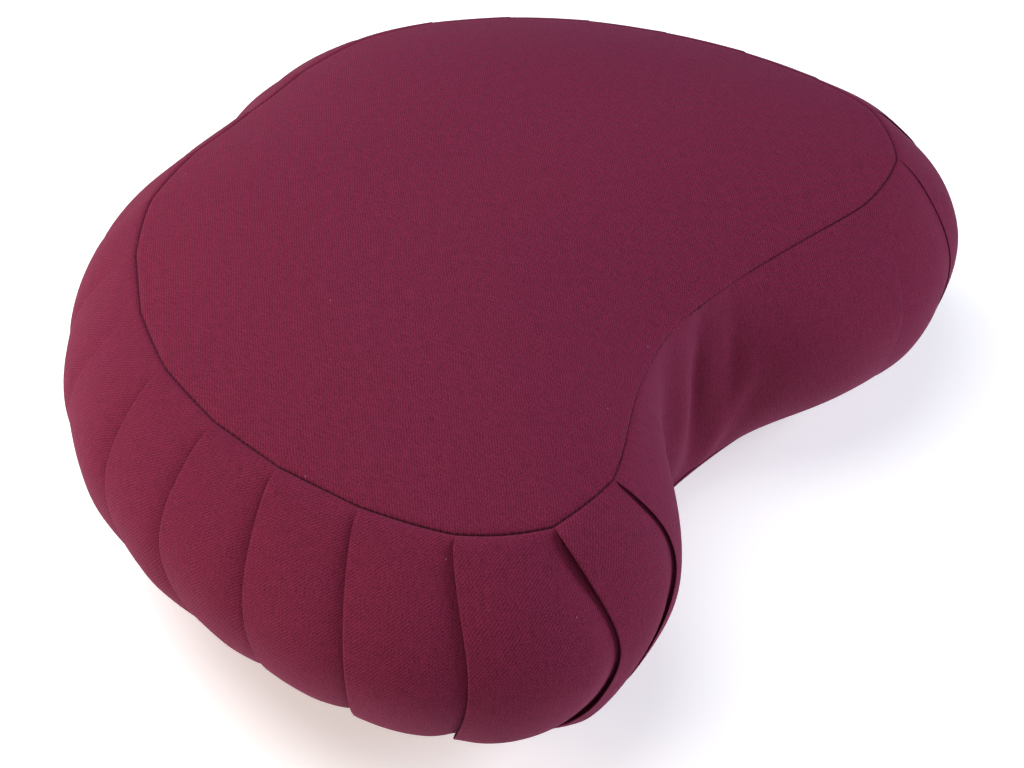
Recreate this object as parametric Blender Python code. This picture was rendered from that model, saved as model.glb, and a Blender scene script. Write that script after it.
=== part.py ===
"""Crescent meditation cushion: a filled body in a pleated side band, closed by a top and a bottom panel.

The two horns point along X, the concave front faces -Y, and +Z is up. The cushion stands on z = 0
with the middle of its box over the origin. Lengths are in metres unless a name ends in _mm.
"""

from typing import NamedTuple

import bpy
import numpy as np

# Driving dimensions
HEIGHT = 0.154
TOP_SEAM_Z = 0.1293
WIDEST_Z = 0.075
BOTTOM_SEAM_Z = 0.019
PANEL_THICKNESS = 0.002
GAP = 0.0003
SEAM_GROOVE = 0.0006
SEAM_ALLOWANCE = 0.001

# The crown falls from its peak to the top seam as this power of the share of the radius. Its level
# lines turn from the seam's outline at the rim to an ellipse at the peak, behind the pole.
CROWN_POWER = 2.8
CROWN_ELLIPSE = (0.170, 0.130)
CROWN_PEAK = (0.0, 0.018)
# The underside curves down from the bottom seam and lies flat inside this share of the radius
FLAT_SHARE = 0.66
UNDERSIDE_POWER = 3
# Above its widest height the side is full right up to its seam, and below it is drawn in more
UPPER_SIDE_SKEW = 1.05
UPPER_SIDE_FULLNESS = 0.8
LOWER_SIDE_POWER = 2

# Where the outline's radii start from, so that the whole box is centred on the origin
POLE = (-0.0036, 0.0035)

# Meshing
ROUND_SAMPLES = 1440
PANEL_PHASES = (0.0, 0.25, 0.5, 0.75)
FOOT_PHASE = 0.965
FRONT_STEPS = 28
FRONT_CROWDING = 0.55
SIDE_ROWS = (0.03, 0.10, 0.20, 0.32, 0.44, 0.56, 0.68, 0.80, 0.90, 0.97)
CROWN_SHARES = (0.4, 0.7, 0.9)
UNDERSIDE_STEPS = (0.15, 0.35, 0.6, 1.0)

# Looks
BURGUNDY = (0.145, 0.021, 0.047, 1.0)
COTTON_ROUGHNESS = 0.9


class SeamRow(NamedTuple):
    """Radius of the top seam's outline at one angle below or above the horns' line, on either side."""

    angle: float
    far: float
    near: float


class SideRow(NamedTuple):
    """How far the side stands out past its seams at one angle."""

    angle: float
    far: float
    near: float


class Pleat(NamedTuple):
    """One knife pleat of the band, at its place along the top seam from the middle of the notch.

    lean and bow say how its folded edge moves along the seam's direction on its way down, and
    stand is how far that edge stands proud of the panel that runs in under it.
    """

    seam_mm: float
    lean_mm: float
    bow_mm: float
    stand_mm: float


class FrontFold(NamedTuple):
    """One soft fold of slack cloth in the plain front: a ridge, or a trough where height is negative."""

    seam_mm: float
    lean_mm: float
    height_mm: float
    half_width_mm: float


OUTLINE = (
    SeamRow(-90, 0.1110, 0.1110),
    SeamRow(-79, 0.1169, 0.1118),
    SeamRow(-68, 0.1303, 0.1224),
    SeamRow(-58, 0.1528, 0.1468),
    SeamRow(-50, 0.1779, 0.1792),
    SeamRow(-43, 0.1935, 0.1944),
    SeamRow(-37, 0.1998, 0.1995),
    SeamRow(-30, 0.2009, 0.1983),
    SeamRow(-20, 0.1923, 0.1908),
    SeamRow(-8, 0.1822, 0.1823),
    SeamRow(6, 0.1732, 0.1752),
    SeamRow(22, 0.1672, 0.1690),
    SeamRow(40, 0.1635, 0.1620),
    SeamRow(58, 0.1597, 0.1575),
    SeamRow(74, 0.1498, 0.1486),
    SeamRow(90, 0.1430, 0.1430),
)

SIDE_BULGE = (
    SideRow(-90, 0.0053, 0.0053),
    SideRow(-60, 0.0402, 0.0190),
    SideRow(-37, 0.0362, 0.0486),
    SideRow(0, 0.0460, 0.0432),
    SideRow(45, 0.0413, 0.0377),
    SideRow(90, 0.0391, 0.0391),
)

PLEATS = (
    Pleat(108, -36, 0, 1.6),
    Pleat(148, -36, 0, 2.6),
    Pleat(188, -20, 4, 3.0),
    Pleat(228, -10, 4, 2.8),
    Pleat(268, 4, 3, 3.0),
    Pleat(309, 8, 5, 2.6),
    Pleat(349, -4, 6, 3.0),
    Pleat(389, 6, 2, 2.8),
    Pleat(429, 10, -3, 3.2),
    Pleat(469, 2, 4, 2.8),
    Pleat(509, -6, 6, 2.6),
    Pleat(549, 8, 0, 3.0),
    Pleat(590, 12, 3, 2.8),
    Pleat(630, 18, 2, 2.6),
    Pleat(670, 26, -2, 2.4),
    Pleat(710, 36, -4, 1.8),
    Pleat(749, 50, -6, 2.4),
    Pleat(791, 42, -8, 2.6),
    Pleat(828, 14, 9, 2.8),
    Pleat(868, 12, 8, 3.0),
    Pleat(908, -2, 8, 3.4),
    Pleat(946, -34, 19, 5.0),
    Pleat(981, -45, 17, 4.0),
)

FRONT_FOLDS = (
    FrontFold(-62, 26, 1.2, 7),
    FrontFold(-15, 4, 2.2, 8),
    FrontFold(-1, 2, -6.0, 5.5),
    FrontFold(9, 4, 1.6, 5),
    FrontFold(17, -2, -2.6, 4.5),
    FrontFold(27, -10, 1.4, 6),
)

# How the lift over a panel falls from its folded edge, swells with the filling and dips at its foot.
# The panels' mean lift is taken off, so that the side keeps its width.
LIFT_POWER = 1.4
PUFF_MM = 1.6
MEAN_LIFT_MM = 2.2
FOOT_DIP_SHARE = 0.25
FRONT_LIFT_FADE_MM = 22
PLEAT_FADE_SHARE = 0.12


def periodic_spline(knots, values, at):
    """Cubic spline through values at knots in degrees, closed over the full turn."""
    count = len(knots)
    steps = np.diff(np.append(knots, knots[0] + 360))
    slopes = np.diff(np.append(values, values[0])) / steps
    system = np.zeros((count, count))
    for i in range(count):
        system[i, i - 1] += steps[i - 1]
        system[i, i] += 2 * (steps[i - 1] + steps[i])
        system[i, (i + 1) % count] += steps[i]
    bends = np.linalg.solve(system, 6 * (slopes - np.roll(slopes, 1)))
    turned = knots[0] + np.mod(at - knots[0], 360)
    left = np.clip(np.searchsorted(knots, turned, side="right") - 1, 0, count - 1)
    right = (left + 1) % count
    width = steps[left]
    share = (turned - knots[left]) / width
    straight = values[left] * (1 - share) + values[right] * share
    pull = ((1 - share) ** 3 - (1 - share)) * bends[left] + (share**3 - share) * bends[right]
    return straight + pull * width**2 / 6


def round_the_horns(rows):
    """A two-sided table as one list of angles, -90 round to 270, and one of values."""
    angles = [row.angle for row in rows] + [180 - row.angle for row in rows[-2:0:-1]]
    values = [row.far for row in rows] + [row.near for row in rows[-2:0:-1]]
    return np.array(angles, float), np.array(values, float)


def sample_seam():
    """Points, outward directions, bulge and running length of the top seam, closed on itself."""
    angles = np.linspace(-90, 270, ROUND_SAMPLES + 1)
    radii = periodic_spline(*round_the_horns(OUTLINE), angles)
    bulge = periodic_spline(*round_the_horns(SIDE_BULGE), angles)
    turn = np.radians(angles)
    points = np.column_stack([radii * np.cos(turn), radii * np.sin(turn)])
    length = np.append(0, np.cumsum(np.linalg.norm(np.diff(points, axis=0), axis=1)))
    along = np.roll(points[:-1], -1, axis=0) - np.roll(points[:-1], 1, axis=0)
    along = np.vstack([along, along[:1]])
    along /= np.linalg.norm(along, axis=1)[:, None]
    outward = np.column_stack([along[:, 1], -along[:, 0]])
    return points, outward, bulge, length


POINTS, OUTWARD, BULGE, RUN = sample_seam()
SEAM_LENGTH = RUN[-1]


def at_seam(place):
    """Point, outward direction and bulge at a running length along the top seam."""
    run = np.mod(place, SEAM_LENGTH)
    read = [np.interp(run, RUN, column) for column in (*POINTS.T, *OUTWARD.T, BULGE)]
    return np.array(read[0:2]), np.array(read[2:4]), read[4]


def pleat_place(index, depth):
    """Running length of a pleat's folded edge at a depth from the top seam (0) to the bottom (1)."""
    lap, row = divmod(index, len(PLEATS))
    pleat = PLEATS[row]
    drift = pleat.lean_mm * depth + pleat.bow_mm * np.sin(np.pi * depth)
    return (pleat.seam_mm + drift) / 1000 + lap * SEAM_LENGTH


def pleat_lift(panel, phase, depth):
    """How far the cloth stands proud at a phase across a panel, from its folded edge to its foot."""
    pleat = PLEATS[panel]
    stand = pleat.stand_mm / 1000
    fade = min(1, depth / PLEAT_FADE_SHARE, (1 - depth) / PLEAT_FADE_SHARE)
    if panel == len(PLEATS) - 1:
        width = pleat_place(panel + 1, depth) - pleat_place(panel, depth)
        lift = stand * np.exp(-phase * width * 1000 / FRONT_LIFT_FADE_MM)
    else:
        swell = PUFF_MM * np.sin(np.pi * phase) - MEAN_LIFT_MM
        lift = stand * (1 - phase) ** LIFT_POWER + swell / 1000
    if phase == FOOT_PHASE:
        lift -= FOOT_DIP_SHARE * PLEATS[(panel + 1) % len(PLEATS)].stand_mm / 1000
    return lift * fade


def front_fold_lift(place, depth):
    """How far the slack folds of the plain front raise or sink the cloth."""
    beside = (place + SEAM_LENGTH / 2) % SEAM_LENGTH - SEAM_LENGTH / 2
    lift = 0.0
    for fold in FRONT_FOLDS:
        middle = (fold.seam_mm + fold.lean_mm * depth) / 1000
        across = (beside - middle) / (fold.half_width_mm / 1000)
        lift += fold.height_mm / 1000 * np.exp(-(across**2))
    return lift * np.sqrt(np.sin(np.pi * depth))


def front_phases():
    """Phases across the plain front, closest together at the notch where its folds are."""
    even = np.linspace(0, 1, FRONT_STEPS, endpoint=False)
    return even + FRONT_CROWDING * np.sin(2 * np.pi * even) / (2 * np.pi)


def make_columns():
    """Panel index and phase of every column of the side, and which of them the two panels share."""
    columns = []
    shared = []
    for panel in range(len(PLEATS)):
        is_front = panel == len(PLEATS) - 1
        for phase in front_phases() if is_front else PANEL_PHASES:
            shared.append(len(columns))
            columns.append((panel, phase))
        columns.append((panel, FOOT_PHASE))
    return columns, shared


COLUMNS, SHARED = make_columns()


def column_place(column, depth):
    """Running length of a column at a depth down the side.

    The columns of a pleated panel run down between its two folds. Those of the plain front run
    straight down in the middle and turn along with the folds at its two ends.
    """
    panel, phase = column
    ends = [pleat_place(panel + end, depth) for end in (0, 1)]
    if panel != len(PLEATS) - 1:
        return ends[0] + phase * (ends[1] - ends[0])
    tops = [pleat_place(panel + end, 0) for end in (0, 1)]
    turned = (ends[0] - tops[0]) * (1 - phase) ** 3 + (ends[1] - tops[1]) * phase**3
    return tops[0] + phase * (tops[1] - tops[0]) + turned


def raised(plan, height):
    """A plan point at a height, moved so that the box is centred on the origin."""
    return (plan[0] - POLE[0], plan[1] - POLE[1], height)


def side_fullness(height):
    """Share of the full bulge that the side reaches at a height between its seams."""
    if height >= WIDEST_Z:
        down = (TOP_SEAM_Z - height) / (TOP_SEAM_Z - WIDEST_Z)
        return np.sin(np.pi / 2 * down**UPPER_SIDE_SKEW) ** UPPER_SIDE_FULLNESS
    return 1 - ((WIDEST_Z - height) / (WIDEST_Z - BOTTOM_SEAM_Z)) ** LOWER_SIDE_POWER


def side_ring(depth):
    """Points round the pleated side at one depth."""
    height = TOP_SEAM_Z + (BOTTOM_SEAM_Z - TOP_SEAM_Z) * depth
    fullness = side_fullness(height)
    ring = []
    for column in COLUMNS:
        place = column_place(column, depth)
        point, outward, bulge = at_seam(place)
        lift = pleat_lift(*column, depth) + front_fold_lift(place, depth)
        ring.append(raised(point + outward * (bulge * fullness + lift), height))
    return ring


def seam_ring(share, height, depth=0, beyond=0.0, columns=None):
    """Points round a level line: the seam's outline at share 1, rounder and further back inside it."""
    ring = []
    for column in columns or COLUMNS:
        point, outward, _ = at_seam(column_place(column, depth))
        turn = np.arctan2(point[1], point[0])
        ellipse = np.array(CROWN_ELLIPSE) * (np.cos(turn), np.sin(turn))
        drawn_in = share * (share * point + (1 - share) * ellipse)
        ring.append(raised(drawn_in + (1 - share) * np.array(CROWN_PEAK) + outward * beyond, height))
    return ring


def crown_height(share):
    """Height of the crown at a share of the radius."""
    return TOP_SEAM_Z + (HEIGHT - TOP_SEAM_Z) * (1 - share**CROWN_POWER)


def underside(step):
    """Share of the radius and height at a step from the bottom seam (0) to the flat (1)."""
    return 1 - step * (1 - FLAT_SHARE), BOTTOM_SEAM_Z * (1 - step) ** UNDERSIDE_POWER


def bridge(faces, upper, lower):
    """Quads between two rings, or larger faces where the rings don't have the same columns."""
    common = [key for key in upper if key in lower]
    for this, following in zip(common, common[1:] + common[:1]):
        top = run_between(list(upper), this, following)
        bottom = run_between(list(lower), this, following)
        faces.append([upper[key] for key in reversed(top)] + [lower[key] for key in bottom])


def run_between(keys, first, last):
    """The keys of a ring from first to last, going round past its end where they do."""
    start, end = keys.index(first), keys.index(last)
    if end <= start:
        end += len(keys)
    return [keys[i % len(keys)] for i in range(start, end + 1)]


def make_object(name, material, top, rings, bottom):
    """A closed object lofted from a top point through rings, given from the top down, to a bottom point."""
    points = [top]
    numbered = []
    for keys, ring in rings:
        numbered.append({key: len(points) + i for i, key in enumerate(keys)})
        points.extend(ring)
    points.append(bottom)
    faces = []
    first, last = list(numbered[0].values()), list(numbered[-1].values())
    faces += [[0, a, b] for a, b in zip(first, first[1:] + first[:1])]
    for upper, lower in zip(numbered, numbered[1:]):
        bridge(faces, upper, lower)
    faces += [[len(points) - 1, b, a] for a, b in zip(last, last[1:] + last[:1])]
    mesh = bpy.data.meshes.new(name)
    mesh.from_pydata(points, [], faces)
    mesh.materials.append(material)
    mesh.shade_smooth()
    mesh.set_sharp_from_angle(angle=np.radians(40))
    piece = bpy.data.objects.new(name, mesh)
    bpy.context.collection.objects.link(piece)
    return piece


def shared_ring(share, height, depth=0, beyond=0.0):
    """A ring on the columns that the panels share, with their keys."""
    columns = [COLUMNS[key] for key in SHARED]
    return SHARED, seam_ring(share, height, depth, beyond, columns)


def full_ring(share, height, depth=0, beyond=0.0):
    """A ring on every column of the side, with their keys."""
    return range(len(COLUMNS)), seam_ring(share, height, depth, beyond)


def make_body(material):
    """The filling in its pleated band, with a rebate at each seam for the panel that closes it."""
    recess = PANEL_THICKNESS + GAP
    rings = [shared_ring(share, crown_height(share) - recess) for share in CROWN_SHARES]
    rings.append(shared_ring(1, TOP_SEAM_Z - PANEL_THICKNESS - SEAM_ALLOWANCE, beyond=GAP))
    rings.append(full_ring(1, TOP_SEAM_Z - SEAM_GROOVE, beyond=GAP))
    rings += [(range(len(COLUMNS)), side_ring(depth)) for depth in SIDE_ROWS]
    rings.append(full_ring(1, BOTTOM_SEAM_Z + SEAM_GROOVE, 1, GAP))
    rings.append(shared_ring(1, BOTTOM_SEAM_Z + PANEL_THICKNESS + SEAM_ALLOWANCE, 1, GAP))
    for step in UNDERSIDE_STEPS:
        share, height = underside(step)
        rings.append(shared_ring(share, height + recess, 1))
    return make_object("pleated_body", material, raised(CROWN_PEAK, HEIGHT - recess), rings, raised(CROWN_PEAK, recess))


def make_top_panel(material):
    """The crescent cloth that closes the top, domed over the filling, its edge turned down at the seam."""
    rings = [shared_ring(share, crown_height(share)) for share in CROWN_SHARES]
    rings.append(shared_ring(1, TOP_SEAM_Z, beyond=-SEAM_GROOVE))
    rings.append(shared_ring(1, TOP_SEAM_Z - SEAM_GROOVE))
    rings.append(shared_ring(1, TOP_SEAM_Z - PANEL_THICKNESS))
    rings += [shared_ring(share, crown_height(share) - PANEL_THICKNESS) for share in reversed(CROWN_SHARES)]
    top, bottom = raised(CROWN_PEAK, HEIGHT), raised(CROWN_PEAK, HEIGHT - PANEL_THICKNESS)
    return make_object("top_panel", material, top, rings, bottom)


def make_bottom_panel(material):
    """The crescent cloth that closes the underside, flat where the cushion rests."""
    inner = []
    outer = []
    for step in UNDERSIDE_STEPS:
        share, height = underside(step)
        inner.append(shared_ring(share, height + PANEL_THICKNESS, 1))
        outer.append(shared_ring(share, height, 1))
    rings = inner[::-1]
    rings.append(shared_ring(1, BOTTOM_SEAM_Z + PANEL_THICKNESS, 1))
    rings.append(shared_ring(1, BOTTOM_SEAM_Z + SEAM_GROOVE, 1))
    rings.append(shared_ring(1, BOTTOM_SEAM_Z, 1, -SEAM_GROOVE))
    rings += outer
    top, bottom = raised(CROWN_PEAK, PANEL_THICKNESS), raised(CROWN_PEAK, 0)
    return make_object("bottom_panel", material, top, rings, bottom)


def make_material(name):
    """Matt burgundy cotton."""
    material = bpy.data.materials.new(name)
    material.use_nodes = True
    shader = material.node_tree.nodes["Principled BSDF"]
    shader.inputs["Base Color"].default_value = BURGUNDY
    shader.inputs["Roughness"].default_value = COTTON_ROUGHNESS
    shader.inputs["Metallic"].default_value = 0.0
    material.diffuse_color = BURGUNDY
    return material


def main():
    """Clear the scene and build the cushion's three pieces."""
    for item in list(bpy.data.objects):
        bpy.data.objects.remove(item)
    make_body(make_material("band_cotton"))
    make_top_panel(make_material("top_panel_cotton"))
    make_bottom_panel(make_material("bottom_panel_cotton"))


main()
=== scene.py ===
"""A burgundy crescent meditation cushion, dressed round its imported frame.

The cushion is sewn from a top and a bottom crescent and one long side band, which is laid in knife
pleats round the horns and the back and left plain across the concave front. Lengths are in metres
unless a name ends in _mm. Places along the seam are running lengths from the middle of the notch,
round the far horn (+X), the back (+Y) and the near horn (-X).
"""

import logging
import math
from dataclasses import dataclass
from enum import Enum
from typing import NamedTuple

import bmesh
import bpy
import numpy as np
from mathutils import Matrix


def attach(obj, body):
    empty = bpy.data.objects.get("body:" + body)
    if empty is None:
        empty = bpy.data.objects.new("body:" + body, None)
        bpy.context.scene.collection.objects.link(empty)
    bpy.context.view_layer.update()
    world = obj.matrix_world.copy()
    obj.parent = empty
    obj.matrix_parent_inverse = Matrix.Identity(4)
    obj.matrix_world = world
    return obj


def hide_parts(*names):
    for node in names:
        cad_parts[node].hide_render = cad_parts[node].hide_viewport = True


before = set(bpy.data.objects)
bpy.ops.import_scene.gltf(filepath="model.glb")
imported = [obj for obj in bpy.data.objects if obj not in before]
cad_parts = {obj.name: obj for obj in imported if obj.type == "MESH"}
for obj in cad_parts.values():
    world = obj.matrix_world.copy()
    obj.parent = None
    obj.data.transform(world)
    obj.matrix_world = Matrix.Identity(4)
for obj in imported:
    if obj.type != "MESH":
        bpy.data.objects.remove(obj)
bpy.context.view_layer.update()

MM = 0.001
BODY = "root"

log = logging.getLogger("cushion")


class Layer(Enum):
    """Which layer of a knife pleat a station of its cross-section lies on."""

    FOOT = "foot"
    FOLD = "fold"
    FLAP = "flap"


class OutlineRow(NamedTuple):
    """Radius of the seam at one angle from the horns' line, on the far and the near side."""

    angle: float
    far: float
    near: float


class Pleat(NamedTuple):
    """One knife pleat at its place along the top seam.

    lean, bow and curl move its folded edge along the seam's direction on its way down, stand is how
    far the edge stands proud, and trench how deep the cloth dips before it. gape is how much more the
    edge stands where its upper end hangs open, corner is how far the seam is pushed out where the
    pleat's layers are caught, and sag how far it is drawn in on the way to the next pleat. puff is
    how far the panel after the pleat swells, and opens the depth by which the edge is fully proud.
    """

    seam_mm: float
    lean_mm: float
    bow_mm: float
    curl_mm: float
    stand_mm: float
    trench_mm: float = 0.9
    puff_mm: float = 1.4
    gape_mm: float = 0.0
    corner_mm: float = 0.5
    sag_mm: float = 0.45
    opens: float = 0.24


class Station(NamedTuple):
    """One column of a pleat's cross-section: along the seam from the folded edge, and its level."""

    layer: Layer
    along_mm: float
    sewn_mm: float
    layers_down: float


class SlackFold(NamedTuple):
    """One soft fold of slack cloth: a ridge, or a trough where height is negative."""

    seam_mm: float
    lean_mm: float
    height_mm: float
    half_width_mm: float
    top: float = 0.0
    bottom: float = 1.0


OUTLINE = (
    OutlineRow(-90, 0.1110, 0.1110),
    OutlineRow(-79, 0.1169, 0.1118),
    OutlineRow(-68, 0.1303, 0.1224),
    OutlineRow(-58, 0.1528, 0.1468),
    OutlineRow(-50, 0.1779, 0.1792),
    OutlineRow(-43, 0.1935, 0.1944),
    OutlineRow(-37, 0.1998, 0.1995),
    OutlineRow(-30, 0.2009, 0.1983),
    OutlineRow(-20, 0.1923, 0.1908),
    OutlineRow(-8, 0.1822, 0.1823),
    OutlineRow(6, 0.1732, 0.1752),
    OutlineRow(22, 0.1672, 0.1690),
    OutlineRow(40, 0.1635, 0.1620),
    OutlineRow(58, 0.1597, 0.1575),
    OutlineRow(74, 0.1498, 0.1486),
    OutlineRow(90, 0.1430, 0.1430),
)

# How far the side stands out past the seam, set by the photograph's outline
BULGE = (
    OutlineRow(-90, -0.0019, -0.0019),
    OutlineRow(-60, 0.0385, 0.0177),
    OutlineRow(-48, 0.0368, 0.0340),
    OutlineRow(-37, 0.0338, 0.0451),
    OutlineRow(-20, 0.0345, 0.0471),
    OutlineRow(0, 0.0344, 0.0432),
    OutlineRow(22, 0.0363, 0.0407),
    OutlineRow(45, 0.0353, 0.0351),
    OutlineRow(68, 0.0387, 0.0315),
    OutlineRow(90, 0.0294, 0.0294),
)

PLEATS = (
    Pleat(108, -7, -13, -1, 0.35, 0.0, corner_mm=0.2, sag_mm=0.9, opens=0.07),
    Pleat(148, -34, 0, -2, 0.6, 0.1, corner_mm=0.9, opens=0.07),
    Pleat(188, -20, 4, 0, 1.2),
    Pleat(228, -10, 4, 0, 1.1),
    Pleat(268, 4, 3, 0, 1.2),
    Pleat(309, 8, 5, 0, 1.0),
    Pleat(349, -4, 6, 0, 1.2),
    Pleat(389, 6, 2, 0, 1.0),
    Pleat(429, 10, -3, 0, 1.1),
    Pleat(469, 2, 4, 0, 1.0),
    Pleat(509, -6, 6, 0, 1.2),
    Pleat(549, 8, 0, 0, 1.2),
    Pleat(590, 12, 3, 0, 1.1),
    Pleat(630, 18, 2, 0, 1.1, 0.6),
    Pleat(670, 26, -2, 0, 1.0, 0.4),
    Pleat(710, 34, -4, 0, 0.8, 0.2),
    Pleat(749, 44, 2, -2, 1.3, 1.6, opens=0.03),
    Pleat(791, 28, 4, -4, 1.5, 1.9, opens=0.03),
    Pleat(828, 12, 12, 0, 1.6, 2.0, opens=0.03),
    Pleat(868, 11, 11, 2, 1.8, 2.0, opens=0.03),
    Pleat(908, 2, 7, 3, 1.8, 1.5, puff_mm=3.0, sag_mm=0.6, opens=0.02),
    Pleat(946, -25, 17, 1, 2.1, 1.4, 2.2, 1.4, 1.4, 1.9, 0.03),
    Pleat(981, -18, -1, 7, 1.0, 0.8, 1.0, 0.3, 0.9, 0.1, 0.03),
)

# From the panel that runs in under the pleat, round its inner fold and out over its folded edge
PLEAT_SECTION = (
    Station(Layer.FOOT, -2.8, -1.5, 0.1),
    Station(Layer.FOOT, -1.2, -1.0, 0.65),
    Station(Layer.FOOT, 1.2, -0.6, 1.0),
    Station(Layer.FOLD, 4.2, -0.3, 0.0),
    Station(Layer.FLAP, 1.8, 0.0, 1.10),
    Station(Layer.FLAP, 0.0, 0.3, 1.00),
    Station(Layer.FLAP, -0.55, 0.6, 0.55),
    Station(Layer.FLAP, -0.2, 1.0, 0.08),
    Station(Layer.FLAP, 0.9, 1.6, 0.0),
)

FRONT_FOLDS = (
    SlackFold(-66, 30, 1.0, 3.2, 0.05, 0.8),
    SlackFold(-56, 26, 0.8, 3.2, 0.08, 0.9),
    SlackFold(-46, 22, 1.1, 3.4, 0.05, 1.0),
    SlackFold(-16, 3, 11.0, 11, 0.0, 0.96),
    SlackFold(0, 2, -2.0, 4.0),
    SlackFold(8, 4, 1.0, 6),
    SlackFold(18, -2, -1.4, 3.4, 0.0, 0.8),
    SlackFold(28, -18, 1.6, 5, 0.3, 1.0),
    SlackFold(38, -18, -1.2, 6, 0.3, 1.0),
)


class Shape:
    """Sizes that the whole cushion shares, and the seam's line worked out from them."""

    height: float = 0.154
    top_seam: float = 0.1293
    widest: float = 0.083
    bottom_seam: float = 0.019
    front_rise: float = 0.005
    front_rise_reach: float = 0.085
    upper_skew: float = 1.05
    upper_fullness: float = 0.8
    lower_power: float = 2.2
    crown_power: float = 2.8
    ellipse: tuple[float, float] = (0.170, 0.130)
    peak: tuple[float, float] = (0.0, 0.018)
    flat_share: float = 0.66
    underside_power: float = 3.0
    pole: tuple[float, float] = (-0.0036, 0.0035)
    samples: int = 2880

    def __init__(self) -> None:
        """Sample the seam's outline, its outward directions and the side's bulge."""
        angles = np.linspace(-90, 270, self.samples + 1)
        radii = periodic_spline(*both_sides(OUTLINE), angles)
        turn = np.radians(angles)
        points = np.column_stack([radii * np.cos(turn), radii * np.sin(turn)])
        self.run = np.append(0, np.cumsum(np.linalg.norm(np.diff(points, axis=0), axis=1)))
        along = np.roll(points[:-1], -1, axis=0) - np.roll(points[:-1], 1, axis=0)
        along = np.vstack([along, along[:1]])
        along /= np.linalg.norm(along, axis=1)[:, None]
        self.points = points
        self.outward = np.column_stack([along[:, 1], -along[:, 0]])
        self.bulge = periodic_spline(*both_sides(BULGE), angles)
        self.length = float(self.run[-1])

    def at(self, place: np.ndarray) -> tuple[np.ndarray, np.ndarray, np.ndarray]:
        """Read the seam at running lengths.

        Args:
            place: Running lengths along the top seam, of any shape.

        Returns:
            Plan points, outward directions and the side's bulge there.
        """
        run = np.mod(place, self.length)
        columns = (*self.points.T, *self.outward.T, self.bulge)
        read = [np.interp(run, self.run, column) for column in columns]
        point = np.stack(read[0:2], axis=-1)
        outward = np.stack(read[2:4], axis=-1)
        return point + outward * scallop(place, self.length)[..., None], outward, read[4]

    def fullness(self, depth: np.ndarray) -> np.ndarray:
        """Share of the full bulge that the side reaches at depths from its top seam to its bottom one."""
        waist = (self.top_seam - self.widest) / (self.top_seam - self.bottom_seam)
        upper = np.sin(np.pi / 2 * np.clip(depth / waist, 0, 1) ** self.upper_skew) ** self.upper_fullness
        below = np.clip((depth - waist) / (1 - waist), 0, 1)
        return np.where(depth <= waist, upper, 1 - below**self.lower_power)

    def foot_seam(self, place: np.ndarray) -> np.ndarray:
        """Height of the bottom seam, which rides up where the notch draws the cloth in."""
        beside = np.mod(place + self.length / 2, self.length) - self.length / 2
        return self.bottom_seam + self.front_rise * np.exp(-((beside / self.front_rise_reach) ** 4))

    def level_line(self, share: float, place: np.ndarray) -> np.ndarray:
        """Plan points of a level line: the seam at share 1, rounder and further back inside it."""
        point, _, _ = self.at(place)
        turn = np.arctan2(point[:, 1], point[:, 0])
        ellipse = np.column_stack([self.ellipse[0] * np.cos(turn), self.ellipse[1] * np.sin(turn)])
        inside = share * (share * point + (1 - share) * ellipse)
        return inside + (1 - share) * np.array(self.peak)

    def crown(self, share: float) -> float:
        """Height of the crown on a level line."""
        return self.top_seam + (self.height - self.top_seam) * (1 - share**self.crown_power)

    def placed(self, plan: np.ndarray, height: np.ndarray) -> np.ndarray:
        """Plan points and heights as points in the frame, whose origin is under the box's middle."""
        shifted = plan - np.array(self.pole)
        return np.concatenate([shifted, np.broadcast_to(height, shifted.shape[:-1])[..., None]], axis=-1)


def periodic_spline(knots: np.ndarray, values: np.ndarray, at: np.ndarray) -> np.ndarray:
    """Cubic spline closed over the full turn.

    Args:
        knots: Angles in degrees, rising.
        values: One value at each knot.
        at: Angles to read the spline at.

    Returns:
        The spline's values at those angles.
    """
    count = len(knots)
    steps = np.diff(np.append(knots, knots[0] + 360))
    slopes = np.diff(np.append(values, values[0])) / steps
    system = np.zeros((count, count))
    for i in range(count):
        system[i, i - 1] += steps[i - 1]
        system[i, i] += 2 * (steps[i - 1] + steps[i])
        system[i, (i + 1) % count] += steps[i]
    bends = np.linalg.solve(system, 6 * (slopes - np.roll(slopes, 1)))
    turned = knots[0] + np.mod(at - knots[0], 360)
    left = np.clip(np.searchsorted(knots, turned, side="right") - 1, 0, count - 1)
    right = (left + 1) % count
    share = (turned - knots[left]) / steps[left]
    straight = values[left] * (1 - share) + values[right] * share
    pull = ((1 - share) ** 3 - (1 - share)) * bends[left] + (share**3 - share) * bends[right]
    return straight + pull * steps[left] ** 2 / 6


def both_sides(rows: tuple[OutlineRow, ...]) -> tuple[np.ndarray, np.ndarray]:
    """A two-sided table as angles from -90 round to 270 and their values."""
    angles = [row.angle for row in rows] + [180 - row.angle for row in rows[-2:0:-1]]
    values = [row.far for row in rows] + [row.near for row in rows[-2:0:-1]]
    return np.array(angles, float), np.array(values, float)


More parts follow.
